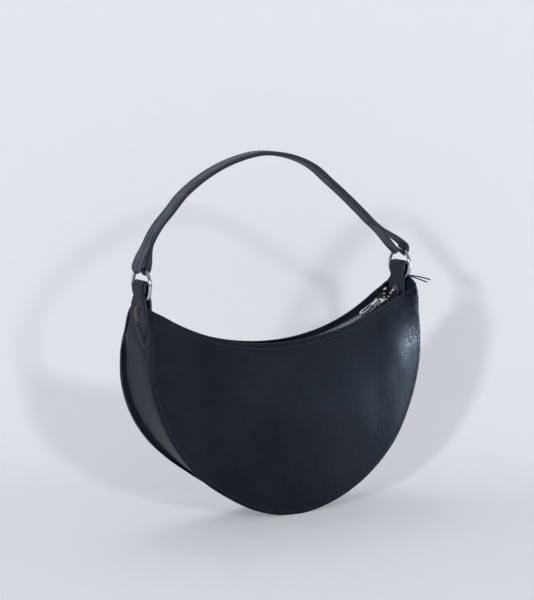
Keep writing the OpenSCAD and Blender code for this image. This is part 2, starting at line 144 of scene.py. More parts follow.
def hermite(t, p, q, u, v, length=1):
    """Cubic from p to q that leaves along u and arrives along v, both times the length."""
    return ((2 * t**3 - 3 * t**2 + 1) * p + (t**3 - 2 * t**2 + t) * length * u
            + (3 * t**2 - 2 * t**3) * q + (t**3 - t**2) * length * v)


def spline(points, turns):
    """Catmull-Rom from the second point to the last but one, turns steps to each span."""
    out = []
    for a, b, c, d in zip(points, points[1:], points[2:], points[3:]):
        for j in range(turns):
            t = j / turns
            out.append(0.5 * (2 * b + (c - a) * t + (2 * a - 5 * b + 4 * c - d) * t * t
                              + (3 * b - a - 3 * c + d) * t**3))
    out.append(points[-2].copy())
    return out


def from_table(table, v):
    """Value at v of a table of (place, value) rows, joined smoothly."""
    k = next(i for i in range(1, len(table)) if v <= table[i][0])
    (x1, y1), (x2, y2) = table[k - 1], table[k]
    x0, y0 = table[k - 2] if k > 1 else (2 * x1 - x2, y1)
    x3, y3 = table[k + 1] if k + 1 < len(table) else (2 * x2 - x1, y2)
    start = (y2 - y0) / (x2 - x0) * (x2 - x1)
    end = (y3 - y1) / (x3 - x1) * (x2 - x1)
    return hermite((v - x1) / (x2 - x1), y1, y2, start, end)


def mouth_z(x):
    """Height of the panels' upper edge."""
    return MOUTH_CZ - math.sqrt(MOUTH_R**2 - x * x)


def lean(x, z):
    """How far the panels lean together: from 0 at LEAN_H below the mouth to 1 at the mouth."""
    return clamp(1 - (mouth_z(x) - z) / LEAN_H) ** 2


def mouth_gap(x):
    """Distance between the panels' outer faces at the mouth."""
    if x < 0:
        share = clamp((-x / CORNER_X - GAP_LEFT_FROM) / (1 - GAP_LEFT_FROM))
        return GAP_MID + (GAP_LEFT - GAP_MID) * share**2
    return GAP_MID + (GAP_RIGHT - GAP_MID) * min(x / CORNER_X, 1) ** 2


def half_depth(x, z):
    """Distance of a panel's outer face from the middle plane, as in the CAD."""
    w = lean(x, z)
    puff = PUFF * (1 - w) * max(0, 1 - (x * x + (z - BODY_CZ) ** 2) / PANEL_R**2)
    return DEPTH / 2 - (DEPTH - mouth_gap(x)) / 2 * w + puff


def wall(side, x, z):
    """Distance of a panel's outer face from the middle plane, with slack, bends and rolled rim."""
    rim = PANEL_R - math.hypot(x, z - BODY_CZ)
    slack = sum(height * noise.noise(Vector((x * pitch_x, z * pitch_z, seed * side)))
                for height, pitch_x, pitch_z, seed in SLACK)
    slack *= ease(rim / SLACK_RIM) * ease((mouth_z(x) - z) / SLACK_MOUTH)
    if side < 0:
        bend = FRONT_BEND * ease((x - FRONT_BEND_X) / FRONT_BEND_W) ** FRONT_BEND_POWER
        bend *= ease((z - FRONT_BEND_Z) / FRONT_BEND_H)
    else:
        bend = REAR_BEND * ease((x - REAR_BEND_X) / REAR_BEND_W)
    bend *= ease((CORNER_Z + BEND_TOP - z) / BEND_FADE)
    return half_depth(x, z) + slack - bend - ROLL * ease((ROLL_W - rim) / ROLL_W)


def slumped(p):
    """The bag's soft lower left sags inside the round: the rear rim more than the front one."""
    x, y, z = p
    r = math.hypot(x, z - BODY_CZ)
    angle = math.degrees(math.atan2(-x, BODY_CZ - z))
    if not FRONT_SLUMP[0][0] < angle < FRONT_SLUMP[-1][0]:
        return p
    front, rear = from_table(FRONT_SLUMP, angle), from_table(REAR_SLUMP, angle)
    share = clamp((y + SLUMP_FRONT_Y) / SLUMP_DEPTH) ** SLUMP_POWER
    rim = min(1, r / PANEL_R) ** 3
    k = 1 - (front + (rear - front) * share) * rim / max(r, 1)
    low = BODY_CZ + (z - BODY_CZ) * k
    return (x * k, y - CURL * rear * share * rim, max(low, min(z, FLOOR_Z)))


# Meshes

EDGE_ROUND = 50


def bevel(o, width, angle):
    """Round the edges that are sharper than an angle in degrees."""
    m = o.modifiers.new("edge", "BEVEL")
    m.width = width * MM
    m.segments = 2
    m.limit_method = "ANGLE"
    m.angle_limit = math.radians(angle)


class Shape:
    """Points in millimetres, faces and material slots of one piece."""

    def __init__(self):
        self.points = []
        self.faces = []
        self.slots = []

    def add(self, points, faces, slots=None):
        """Take in points, and faces that count from the first of them."""
        base = len(self.points)
        self.points += [tuple(p) for p in points]
        self.faces += [tuple(base + i for i in f) for f in faces]
        self.slots += slots or [0] * len(faces)

    def make(self, name, body, materials, stands_for=(), sharp=40, edge_r=0.0):
        """Make the object that rides on a body and replaces the CAD nodes that it stands for."""
        mesh = bpy.data.meshes.new(name)
        points = [slumped(p) for p in self.points] if body == "bag" else self.points
        mesh.from_pydata([tuple(c * MM for c in p) for p in points], [], self.faces)
        for m in materials:
            mesh.materials.append(m)
        mesh.polygons.foreach_set("material_index", self.slots)
        mesh.shade_smooth()
        mesh.set_sharp_from_angle(angle=math.radians(sharp))
        mesh.update()
        o = bpy.data.objects.new(name, mesh)
        bpy.context.scene.collection.objects.link(o)
        if edge_r:
            bevel(o, edge_r, EDGE_ROUND)
        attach(o, body)
        if stands_for:
            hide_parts(*stands_for)


def slab(shape, a, b, slots):
    """Closed solid between grids a and b of one size: slots are those of a, the edges and b."""
    n, m = len(a), len(a[0])
    k = n * m
    points = [p for row in a for p in row] + [p for row in b for p in row]
    faces, marks = [], []
    for i in range(n - 1):
        for j in range(m - 1):
            q = (i * m + j, i * m + j + 1, (i + 1) * m + j + 1, (i + 1) * m + j)
            faces += [q, tuple(k + c for c in reversed(q))]
            marks += [slots[0], slots[2]]
    for i in range(n - 1):
        first, last = i * m, (i + 1) * m - 1
        faces.append((first, first + m, k + first + m, k + first))
        faces.append((last, k + last, k + last + m, last + m))
    for j in range(m - 1):
        end = (n - 1) * m + j
        faces.append((j, k + j, k + j + 1, j + 1))
        faces.append((end, end + 1, k + end + 1, k + end))
    marks += [slots[1]] * (len(faces) - len(marks))
    i, j = n // 2, m // 2
    p, inward = Vector(a[i][j]), Vector(b[i][j]) - Vector(a[i][j])
    if (Vector(a[i][j + 1]) - p).cross(Vector(a[i + 1][j]) - p).dot(inward) > 0:
        faces = [tuple(reversed(f)) for f in faces]
    shape.add(points, faces, marks)


def ring_faces(rows, n):
    """Faces between closed rows of n points each."""
    return [(i * n + k, i * n + (k + 1) % n, (i + 1) * n + (k + 1) % n, (i + 1) * n + k)
            for i in range(rows - 1) for k in range(n)]


def caps(rows, n):
    """Faces that close the first and the last of the rows."""
    return [tuple(reversed(range(n))), tuple((rows - 1) * n + k for k in range(n))]


def tube(shape, line, radii, sides=6):
    """Tube along a line of points, closed at both ends; radii is one number or a list of them."""
    line = [Vector(p) for p in line]
    points = []
    side = None
    for i, p in enumerate(line):
        t = (line[min(i + 1, len(line) - 1)] - line[max(i - 1, 0)]).normalized()
        if side is None:
            side = t.orthogonal().normalized()
        side = (side - t * side.dot(t)).normalized()
        up = t.cross(side)
        r = radii[i] if isinstance(radii, list) else radii
        for k in range(sides):
            a = 2 * math.pi * k / sides
            points.append(p + r * (math.cos(a) * side + math.sin(a) * up))
    shape.add(points, ring_faces(len(line), sides) + caps(len(line), sides))


# A stitch from end to end: share of its length, rise over the leather and share of its radius
STITCH = ((0, -0.42, 0.6), (0.12, 0.02, 0.9), (0.3, 0.9, 1), (0.5, 1.15, 1.05), (0.7, 0.9, 1),
          (0.88, 0.02, 0.9), (1, -0.42, 0.6))
STITCH_WANDER = 0.08


def stitches(shape, line, normals, pitch, length, radius, lift=0.16):
    """Stitches along a line of surface points: each one rises out of its hole and dives back."""
    line = [Vector(p) for p in line]
    normals = [Vector(n).normalized() for n in normals]
    total = [0.0]
    for a, b in zip(line, line[1:]):
        total.append(total[-1] + (b - a).length)

    def at(s):
        k = 0
        while k < len(total) - 2 and total[k + 1] < s:
            k += 1
        t = clamp((s - total[k]) / max(1e-9, total[k + 1] - total[k]))
        return line[k].lerp(line[k + 1], t), normals[k].lerp(normals[k + 1], t).normalized()

    count = int(total[-1] / pitch)
    margin = (total[-1] - count * pitch) / 2
    for i in range(count):
        wander = random.uniform(-STITCH_WANDER, STITCH_WANDER)
        start = margin + i * pitch + (pitch - length) / 2 + wander
        path = []
        for share, rise, _ in STITCH:
            p, n = at(start + share * length)
            path.append(p + n * (lift * rise if rise > 0 else rise))
        tube(shape, path, [radius * thick for _, _, thick in STITCH])


# Materials

COOL = (0.78, 0.89, 1.0, 1)
CLOUD = dict(Scale=17, Detail=6, Roughness=0.62, Distortion=0.6)
FLECK = dict(Scale=170, Detail=4, Roughness=0.7)
STREAK = dict(Scale=9, Detail=5, Roughness=0.7)
BLOTCH = dict(Scale=26, Detail=6, Roughness=0.62)
BLOTCH_AT = dict(Location=(0.31, 0, 0.07), Scale=(1.6, 1, 1))
PORES = dict(Scale=820)
FINE = dict(Scale=1300, Detail=3, Roughness=0.6)
CRINKLE = dict(Scale=42, Detail=7, Roughness=0.66, Distortion=1.4)
FLECK_SHARE = 0.35
TONES = (0.52, 0.68, 0.84)
RIDGE = 0.09
CRINKLE_DEPTH, STREAK_DEPTH, PORE_DEPTH, FINE_DEPTH = 0.00165, 0.00022, 0.00022, 0.00018
# The panels' shine grows between these places along X, in metres
SHINE_FROM, SHINE_TO, LEAST_SHINE = 0.07, 0.12, 0.03


def material(name):
    """New material, its node tree and its Principled BSDF."""
    m = bpy.data.materials.new(name)
    m.use_nodes = True
    return m, m.node_tree, m.node_tree.nodes["Principled BSDF"]


def add(tree, kind, **values):
    """New node with values for its inputs or its settings."""
    n = tree.nodes.new(kind)
    for key, value in values.items():
        if key in n.inputs:
            n.inputs[key].default_value = value
        else:
            setattr(n, key, value)
    return n


def math_node(tree, operation, *sources):
    """Math node whose inputs are sockets or numbers."""
    n = add(tree, "ShaderNodeMath", operation=operation)
    for socket, source in zip(n.inputs, sources):
        if isinstance(source, (int, float)):
            socket.default_value = source
        else:
            tree.links.new(source, socket)
    return n.outputs[0]


def ramp(tree, source, stops):
    """Colour of the source by (position, colour) stops."""
    n = tree.nodes.new("ShaderNodeValToRGB")
    first, last = n.color_ramp.elements
    first.position, first.color = stops[0][0], (*stops[0][1], 1)
    last.position, last.color = stops[-1][0], (*stops[-1][1], 1)
    for position, colour in stops[1:-1]:
        n.color_ramp.elements.new(position).color = (*colour, 1)
    tree.links.new(source, n.inputs[0])
    return n.outputs[0]


def spread(tree, source, low, high, start=0.3, end=0.7):
    """The source between start and end, mapped from low to high."""
    n = add(tree, "ShaderNodeMapRange")
    for key, value in (("From Min", start), ("From Max", end), ("To Min", low), ("To Max", high)):
        n.inputs[key].default_value = value
    tree.links.new(source, n.inputs["Value"])
    return n.outputs[0]


def texture(tree, kind, coords, **values):
    """New texture or mapping node that takes its place from coords."""
    n = add(tree, kind, **values)
    tree.links.new(coords, n.inputs["Vector"])
    return n


def pattern(tree, coords, values):
    """Grey value of a noise texture."""
    return texture(tree, "ShaderNodeTexNoise", coords, **values).outputs["Fac"]


def shiny(tree, coords, roughness, shine):
    """Roughness with smooth blotches where x is large."""
    place = tree.nodes.new("ShaderNodeSeparateXYZ")
    tree.links.new(coords, place.inputs[0])
    moved = texture(tree, "ShaderNodeMapping", coords, **BLOTCH_AT).outputs[0]
    blotch = spread(tree, pattern(tree, moved, BLOTCH), LEAST_SHINE, shine, start=0.42, end=0.58)
    right = spread(tree, place.outputs["X"], 0, 1, start=SHINE_FROM, end=SHINE_TO)
    return math_node(tree, "SUBTRACT", roughness, math_node(tree, "MULTIPLY", right, blotch))


def leather(name, dark, light, rough, grain=1.0, specular=0.25, streaks=(60, 60, 9), highlight_stripes=0.0,
            shine=0.0):
    """Mottled leather with pores, creases and streaks; lighter lengthwise stripes in its colour are
    painted highlights; shine smooths blotches where x is large.
    """
    m, tree, bsdf = material(name)
    coords = tree.nodes.new("ShaderNodeTexCoord").outputs["Object"]
    mottle = math_node(tree, "MULTIPLY_ADD", pattern(tree, coords, FLECK), FLECK_SHARE,
                       pattern(tree, coords, CLOUD))
    stretch = texture(tree, "ShaderNodeMapping", coords, Scale=streaks)
    lines = pattern(tree, stretch.outputs[0], STREAK)
    # Painted highlights: lengthwise stripes that lighten the colour's tone
    highlight_stripe_tone = spread(tree, lines, -highlight_stripes, highlight_stripes, start=0.35, end=0.65)
    tone = math_node(tree, "ADD", mottle, highlight_stripe_tone)
    mid = tuple((a + b) / 2 for a, b in zip(dark, light))
    colour = ramp(tree, tone, list(zip(TONES, (dark, mid, light))))
    tree.links.new(colour, bsdf.inputs["Base Color"])
    roughness = spread(tree, mottle, *rough, start=0.5, end=0.85)
    if shine:
        roughness = shiny(tree, coords, roughness, shine)
    tree.links.new(roughness, bsdf.inputs["Roughness"])
    pores = texture(tree, "ShaderNodeTexVoronoi", coords, **PORES).outputs["Distance"]
    last = None
    for source, depth, strength in (
        (math_node(tree, "PINGPONG", pattern(tree, coords, CRINKLE), RIDGE), CRINKLE_DEPTH, 0.5),
        (lines, STREAK_DEPTH * grain, 0.4),
        (pores, PORE_DEPTH * grain, 0.35),
        (pattern(tree, coords, FINE), FINE_DEPTH * grain, 0.5),
    ):
        bump = add(tree, "ShaderNodeBump", Strength=strength, Distance=depth)
        tree.links.new(source, bump.inputs["Height"])
        if last:
            tree.links.new(last, bump.inputs["Normal"])
        last = bump.outputs[0]
    tree.links.new(last, bsdf.inputs["Normal"])
    bsdf.inputs["Specular IOR Level"].default_value = specular
    bsdf.inputs["Specular Tint"].default_value = COOL
    return m


def plain(name, colour, rough, scale, depth, vary, metallic=0.0, coat=0.0):
    """Base colour and roughness that vary a little, with a fine bump."""
    m, tree, bsdf = material(name)
    coords = tree.nodes.new("ShaderNodeTexCoord").outputs["Object"]
    cloud = pattern(tree, coords, dict(Scale=scale, Detail=4, Roughness=0.6))
    low = tuple(c * (1 - vary) for c in colour)
    high = tuple(min(1, c * (1 + vary)) for c in colour)
    tree.links.new(ramp(tree, cloud, [(0.3, low), (0.7, high)]), bsdf.inputs["Base Color"])
    tree.links.new(spread(tree, cloud, rough * 0.8, min(1, rough * 1.25)), bsdf.inputs["Roughness"])
    bump = add(tree, "ShaderNodeBump", Strength=0.4, Distance=depth)
    tree.links.new(cloud, bump.inputs["Height"])
    tree.links.new(bump.outputs[0], bsdf.inputs["Normal"])
    bsdf.inputs["Metallic"].default_value = metallic
    if not metallic:
        bsdf.inputs["Specular Tint"].default_value = COOL
    bsdf.inputs["Coat Weight"].default_value = coat
    return m


STRAP_STREAKS = (6, 74, 6)
skin = leather("leather", (0.002, 0.0035, 0.0085), (0.0095, 0.0125, 0.022), (0.46, 0.58),
               shine=0.36, specular=0.285)
soft_skin = leather("gusset_leather", (0.003, 0.006, 0.013), (0.013, 0.018, 0.030), (0.3, 0.4),
                    specular=0.34)
# The strap's leather is much lighter than the panels and has lighter lengthwise stripes. Both are
# painted highlights of the lit strap, laid over its mottled tone.
strap_skin = leather("strap_leather", (0.007, 0.011, 0.020), (0.132, 0.148, 0.175), (0.36, 0.5),
                     specular=0.6, streaks=STRAP_STREAKS, highlight_stripes=0.34, grain=3)
flesh = leather("leather_inside", (0.006, 0.012, 0.027), (0.021, 0.031, 0.054), (0.6, 0.8),
                grain=1.8)
# The lining's light tones and lengthwise stripes are painted highlights too, over its mottled tone
lining = leather("leather_lining", (0.006, 0.011, 0.021), (0.10, 0.116, 0.145), (0.4, 0.56),
                 specular=0.45, streaks=STRAP_STREAKS, highlight_stripes=0.32, grain=3)
edge = plain("leather_edge", (0.034, 0.039, 0.052), 0.7, scale=900, depth=0.0004, vary=0.45)
thread = plain("thread", (0.022, 0.027, 0.038), 0.36, scale=2500, depth=0.00008, vary=0.25)
weave = plain("tape_weave", (0.004, 0.006, 0.011), 0.85, scale=1800, depth=0.0003, vary=0.4)
steel = plain("ring_steel", (0.74, 0.74, 0.76), 0.13, scale=90, depth=0.00002, vary=0.05,
              metallic=1)
silver = plain("zip_metal", (0.84, 0.84, 0.87), 0.16, scale=500, depth=0.00005, vary=0.12,
               metallic=1)
dark_cap = plain("snap_enamel", (0.012, 0.013, 0.018), 0.25, scale=300, depth=0.00003, vary=0.2,
                 metallic=0.3, coat=0.3)
gunmetal = plain("snap_steel", (0.16, 0.165, 0.18), 0.34, scale=400, depth=0.00004, vary=0.1,
                 metallic=1)

# Panels

# Columns of points, in degrees from the bottom: to the mouth's corners, and past them to the last
LAST_A = 86.0
CORNER_A = math.degrees(math.asin(CORNER_X / PANEL_R))
END_COLUMNS, MID_COLUMNS, ROWS = 10, 120, 56
columns = [-LAST_A + (LAST_A - CORNER_A) * i / END_COLUMNS for i in range(END_COLUMNS)]
columns += [-CORNER_A + 2 * CORNER_A * i / MID_COLUMNS for i in range(MID_COLUMNS + 1)]
columns += [CORNER_A + (LAST_A - CORNER_A) * i / END_COLUMNS for i in range(1, END_COLUMNS + 1)]
REACH, REACH_X, REACH_W, REACH_Z, REACH_H = 3.2, 114, 17, 166, 20


def reach(x, z):
    """How far a point is drawn out sideways, so that the mouth's corners meet the tabs."""
    share = ease((abs(x) - REACH_X) / REACH_W) * ease((z - REACH_Z) / REACH_H)
    return math.copysign(REACH * share, x)


def panel_grid(side, inset):
    """Points of a panel's outer face, or at an inset of its inner face, column by column."""
    grid = []
    for a in columns:
        x = PANEL_R * math.sin(math.radians(a))
        rise = math.sqrt(PANEL_R**2 - x * x)
        low = max(0, BODY_CZ - rise)
        high = BODY_CZ + rise if abs(x) > CORNER_X else mouth_z(x)
        heights = [low + (high - low) * j / ROWS for j in range(ROWS + 1)]
        grid.append([(x + reach(x, z), side * (wall(side, x, z) - inset), z) for z in heights])
    return grid


for side, name in ((-1, "front"), (1, "rear")):
    s = Shape()
    slab(s, panel_grid(side, 0), panel_grid(side, LEATHER), slots=(0, 1, 2))
    s.make(name + "_leather", "bag", [skin, edge, flesh], [name + "_panel"], edge_r=0.3)

# Gusset and tabs: one strip from the inner end of the left tab, over its fold, under the bag and
# up to the other one

ARC_END, ARC_STEPS = 101, 70
FLANGE_END, FLANGE_END_A, FLANGE_END_SPAN = 0.6, 88, 15
FOLD_STEPS, SPAN_STEPS = 12, 3
# First point of a tab's outer layer, and the layers' distances under the fold
TAB_START_OUT, TAB_START_Z = 0.15, 172.5
OUTER_END, INNER_START = 1, 1.5
# Heights of the points between them: up the outer layer, and down the inner one
OUTER_ROWS = (176.5, 180.5, 184.5, 188, 190.5, 193, 195, 196.8, 198.4, 200, 201.6, 203.2)
INNER_ROWS = (203.2, 201.6, 200, 198.4, 196.8, 195, 193, 190.5, 187, 184, 181, 178, 175.5,
              173.6, 172.2, 171.2, 170.5, 170.1)
ACROSS = 18
FLANGE_STEPS = 4
SHOULDER_POWER = 0.7
INNER_SHOULDER = -14.5
TAIL_TIP = 0.2
FLANGE_Z, FLANGE_FADE = 147, 26
# Bend between web and flange: its radius, or its share of a narrow flange. Under BENT_FLANGE the
# section is flat, its points kept apart by NUDGE, and under LEAST_FLANGE it is the bare web
WEB_BEND_R, WEB_BEND_SHARE, BENT_FLANGE, LEAST_FLANGE = 3.3, 0.62, 0.3, 0.05
NUDGE = 0.001
# Outward bow of the web: its height at the bottom, its growth over BOW_H from BOW_Z, and its ends
BOW, BOW_MORE, BOW_Z, BOW_H = 0.9, 2.9, 40, 90
BOW_TOP, BOW_TOP_H, BOW_LOW_Z, BOW_LOW_H = 178, 20, -6, 14
TAB_BOW, TAB_BOW_Z, TAB_BOW_H = 0.7, 168, 12
SNAP_PINCH = 90
# The crease under the left snap: its ends in Y and Z, the height and width of its ridge and of the
# valley beside it, and how it fades in and out along its length
CREASE_START, CREASE_END = Vector((2.6, 175.5)), Vector((-24, 154))
CREASE_RIDGE, CREASE_VALLEY, VALLEY_OFF = (1.0, 1.5), (0.5, 2.6), 3.6
CREASE_BEFORE, CREASE_IN, CREASE_AFTER, CREASE_OUT = 0.15, 0.3, 1.2, 0.25


def strip_path():
    """Middle line of the strip in XZ, from the bottom to the inner end of the right tab."""
    line = []
    for i in range(ARC_STEPS + 1):
        a = ARC_END * i / ARC_STEPS
        w = FLANGE - (FLANGE - FLANGE_END) * clamp((a - FLANGE_END_A) / FLANGE_END_SPAN) ** 2
        r = PANEL_R - w - LEATHER / 2
        z = BODY_CZ - r * math.cos(math.radians(a))
        line.append((r * math.sin(math.radians(a)), max(LEATHER / 2, z)))
    r = POCKET + LEATHER / 2
    line.append((SNAP_X + r + TAB_START_OUT, TAB_START_Z))
    line += [(SNAP_X + r, z) for z in (*OUTER_ROWS, FOLD_Z - OUTER_END)]
    for i in range(FOLD_STEPS + 1):
        a = math.pi * i / FOLD_STEPS
        line.append((SNAP_X + r * math.cos(a), FOLD_Z + r * math.sin(a)))
    return line + [(SNAP_X - r, z) for z in (FOLD_Z - INNER_START, *INNER_ROWS)]


half_path = strip_path()
full_path = [Vector(p) for p in [(-x, z) for x, z in reversed(half_path[1:])] + half_path]
strip_line = spline([full_path[0], *full_path, full_path[-1]], SPAN_STEPS)


def rim_x(z):
    """Half width of the panels' round at a height."""
    return math.sqrt(max(0, PANEL_R**2 - (z - BODY_CZ) ** 2))


def tab_half(dz, shoulder, low):
    """Half width of a tab at dz over the ring's centre: full at the fold, round at the waist, and
    wider again down to the shoulder's half width at low."""
    if dz > -FOLD_TOP:
        return TAB_W / 2
    if dz > WAIST_LOW:
        return math.sqrt(WAIST_R**2 - dz * dz)
    waist = math.sqrt(WAIST_R**2 - WAIST_LOW**2)
    return waist + (shoulder - waist) * ease((WAIST_LOW - dz) / (WAIST_LOW - low)) ** SHOULDER_POWER


def panel_roots(x, z):
    """Half widths to the panels' inner faces, front and rear."""
    return [wall(side, x, z) - LEATHER - SEAM for side in (-1, 1)]


def strip_section(x, z, inner):
    """Half widths to the front and the rear, and flange width at a place along the strip."""
    side = -1 if x < 0 else 1
    if inner:
        drop = SNAP_Z - TAB_TAIL + TAB_W / 2 - z
        if drop <= 0:
            half = tab_half(z - RING_Z, TAB_W / 2, INNER_SHOULDER)
        else:
            half = math.sqrt(max(TAIL_TIP, (TAB_W / 2) ** 2 - drop**2))
        return half, half, 0.0
    if z >= CORNER_Z:
        front, rear = panel_roots(side * rim_x(CORNER_Z), CORNER_Z)
        low = CORNER_Z - RING_Z
        return tab_half(z - RING_Z, front, low), tab_half(z - RING_Z, rear, low), 0.0
    if z > BODY_CZ:
        front, rear = panel_roots(side * rim_x(z), z)
    else:
        out = PANEL_R / max(1, math.hypot(x, z - BODY_CZ))
        front, rear = panel_roots(x * out, max(0, BODY_CZ + (z - BODY_CZ) * out))
    return front, rear, FLANGE * (1 - ease((z - FLANGE_Z) / FLANGE_FADE))


def bell(d, width):
    """Bell curve: 1 at 0, nearly 0 beyond twice the width."""
    return math.exp(-((d / width) ** 2))


def crease(y, z):
    """Outward offset of the fold that runs from under the left snap down to the front seam."""
    run = CREASE_END - CREASE_START
    along = run.normalized()
    p = Vector((y, z)) - CREASE_START
    t = p.dot(along) / run.length
    d = p.x * along.y - p.y * along.x
    fade = ease((t + CREASE_BEFORE) / CREASE_IN) * ease((CREASE_AFTER - t) / CREASE_OUT)
    ridge = CREASE_RIDGE[0] * bell(d, CREASE_RIDGE[1])
    return fade * (ridge - CREASE_VALLEY[0] * bell(d + VALLEY_OFF, CREASE_VALLEY[1]))


def strip_arm(half, flange):
    """Half of the strip's section, from its middle to the flange's edge: (sideways, outwards)."""
    r = min(WEB_BEND_R, max(BENT_FLANGE, flange * WEB_BEND_SHARE))
    arm = []
    for k in range(ACROSS + 1):
        share = k / ACROSS
        y, lift = half * share, 0
        if flange > LEAST_FLANGE:
            y = (half - LEATHER / 2) * math.sin(math.pi / 2 * share)
        if flange > BENT_FLANGE:
            lift = r * (1 - math.sqrt(max(0, 1 - clamp((y - (half - LEATHER / 2 - r)) / r) ** 2)))
        arm.append((y, lift))
    edge_y, edge_lift = arm[-1]
    for k in range(1, FLANGE_STEPS + 1):
        if flange > BENT_FLANGE:
            arm.append((edge_y, max(edge_lift, r * 0.999) + (flange - r) * k / FLANGE_STEPS))
        else:
            arm.append((edge_y + NUDGE * k, edge_lift))
    return arm


def strip_grid():
    """Outer and inner face of the strip, with turned out flanges and a soft outward bow."""
    outside, inside = [], []
    count = len(strip_line)
    mid = count // 2
    top = max(range(mid, count), key=lambda i: strip_line[i].y)
    for i, p in enumerate(strip_line):
        t = (strip_line[min(i + 1, count - 1)] - strip_line[max(i - 1, 0)]).normalized()
        out = Vector((t.y, -t.x))
        x, z = p
        inner = abs(i - mid) > top - mid
        front, rear, flange = strip_section(x, z, inner)
        bow = (BOW + BOW_MORE * ease((z - BOW_Z) / BOW_H)) * ease((BOW_TOP - z) / BOW_TOP_H)
        bow = bow * ease((z - BOW_LOW_Z) / BOW_LOW_H) + TAB_BOW * ease((z - TAB_BOW_Z) / TAB_BOW_H)
        profile = [(-y, lift) for y, lift in reversed(strip_arm(front, flange)[1:])]
        profile += strip_arm(rear, flange)
        row_a, row_b = [], []
        for k, (y, lift) in enumerate(profile):
            y0, l0 = profile[max(0, k - 1)]
            y1, l1 = profile[min(len(profile) - 1, k + 1)]
            d = Vector((y1 - y0, l1 - l0))
            d = d.normalized() if d.length > 1e-6 else Vector((1, 0))
            n = Vector((-d.y, d.x))
            half = front if y < 0 else rear
            sag = 0
            if not inner:
                pinch = 1 - math.exp(-(y * y + (z - SNAP_Z) ** 2) / SNAP_PINCH)
                sag = bow * (1 - (y / max(half, 1)) ** 8) * pinch + (crease(y, z) if x < 0 else 0)
            for row, f in ((row_a, 0.5), (row_b, -0.5)):
                up = lift + sag + n.y * LEATHER * f
                row.append((x + out.x * up, y + n.x * LEATHER * f, z + out.y * up))
        outside.append(row_a)
        inside.append(row_b)
    return outside, inside


s = Shape()
slab(s, *strip_grid(), slots=(0, 1, 2))
s.make("gusset_leather", "bag", [soft_skin, edge, flesh], ["gusset"], edge_r=0.25)

# Strap, as lines in the XZ plane

# Points of its middle line, as shares of the corner's X and of the strap's rise over the rings
SHARES = ((-0.957, 0.33), (-0.893, 0.455), (-0.81, 0.565), (-0.702, 0.705), (-0.55, 0.835),
          (-0.382, 0.932), (-0.191, 0.994), (-0.038, 0.998), (0.13, 0.957), (0.282, 0.874),
          (0.42, 0.74), (0.55, 0.61), (0.687, 0.462), (0.78, 0.36))
guides = [Vector((a * CORNER_X, RING_Z + b * STRAP_RISE)) for a, b in SHARES]
seats = [Vector((side * SNAP_X, RING_Z + LOOP_SEAT)) for side in (-1, 1)]
LEG_STEPS, BEND_STEPS, STRAP_SPAN_STEPS = 14, 20, 10
WRAP_FROM, WRAP_OVER = 18, 14
EDGE_R, BAND_ACROSS = 0.35, 10


def tangents(line):
    """Directions of a line at its points."""
    last = len(line) - 1
    return [(line[min(i + 1, last)] - line[max(i - 1, 0)]).normalized() for i in range(last + 1)]


def turned(v):
    """A direction in the plane turned left by 90 degrees."""
    return Vector((-v.y, v.x))


def shifted(line, d):
    """A line moved sideways, to its left."""
    return [p + d * turned(t) for p, t in zip(line, tangents(line))]


def leg(p, u, q, v):
    """Line that leaves p along u and reaches q along v."""
    return [hermite(i / LEG_STEPS, p, q, u, v, (q - p).length) for i in range(LEG_STEPS + 1)]


def loop_line(seam, inward, seat, first):
    """Middle line of the strap's loop: from the seam round the ring's wire and back to the seam."""
    axis = (seam - seat).normalized()
    r = LOOP_R + STRAP_T / 2
    side = first * turned(axis)
    n = -first * turned(inward)
    out = leg(seam - STRAP_T / 2 * n, -inward, seat + r * side, -axis)
    bend = []
    for i in range(1, BEND_STEPS):
        a = math.pi * i / BEND_STEPS
        bend.append(seat + r * (math.cos(a) * side - math.sin(a) * axis))
    return out + bend + leg(seat - r * side, axis, seam + STRAP_T / 2 * n, inward)


strap_line = spline([seats[0], *guides, seats[1]], STRAP_SPAN_STEPS)
strap_turns = tangents(strap_line)
left_loop = loop_line(strap_line[0], strap_turns[0], seats[0], 1)
right_loop = loop_line(strap_line[-1], -strap_turns[-1], seats[1], -1)
outer_line = list(reversed(left_loop[1:])) + shifted(strap_line, STRAP_T / 2) + right_loop[1:]


def wrapped(x, z, y):
    """A point of the strap at y: near a ring the leather follows the wire's round."""
    rho = z - RING_Z
    k = 1 - ease((rho - WRAP_FROM) / WRAP_OVER)
    return (x, y, RING_Z + math.sqrt(max(1, rho * rho - k * y * y)))


def band(shape, line):
    """Strap layer along a line, with rounded edges: slots 0, 1 and 2 are face, edges and back."""
    half, t = STRAP_W / 2, STRAP_T / 2
    flat = STRAP_W - 2 * EDGE_R
    ys = [-half + EDGE_R + flat * k / BAND_ACROSS for k in range(BAND_ACROSS + 1)]
    loop = [(y, t) for y in ys] + [(half, t - EDGE_R), (half, -t + EDGE_R)]
    loop += [(y, -t) for y in reversed(ys)] + [(-half, -t + EDGE_R), (-half, t - EDGE_R)]
    marks = [0] * BAND_ACROSS + [1] * 3 + [2] * BAND_ACROSS + [1] * 3
    points = []
    for p, d in zip(line, tangents(line)):
        q = turned(d)
        points += [wrapped(p.x + q.x * o, p.y + q.y * o, y) for y, o in loop]
    faces = ring_faces(len(line), len(loop)) + caps(len(line), len(loop))
    faces = [tuple(reversed(f)) for f in faces]
    shape.add(points, faces, marks * (len(line) - 1) + [1] * 2)


s = Shape()
band(s, outer_line)
s.make("strap_leather", "handle", [strap_skin, edge, lining], ["strap_outer"], sharp=60)

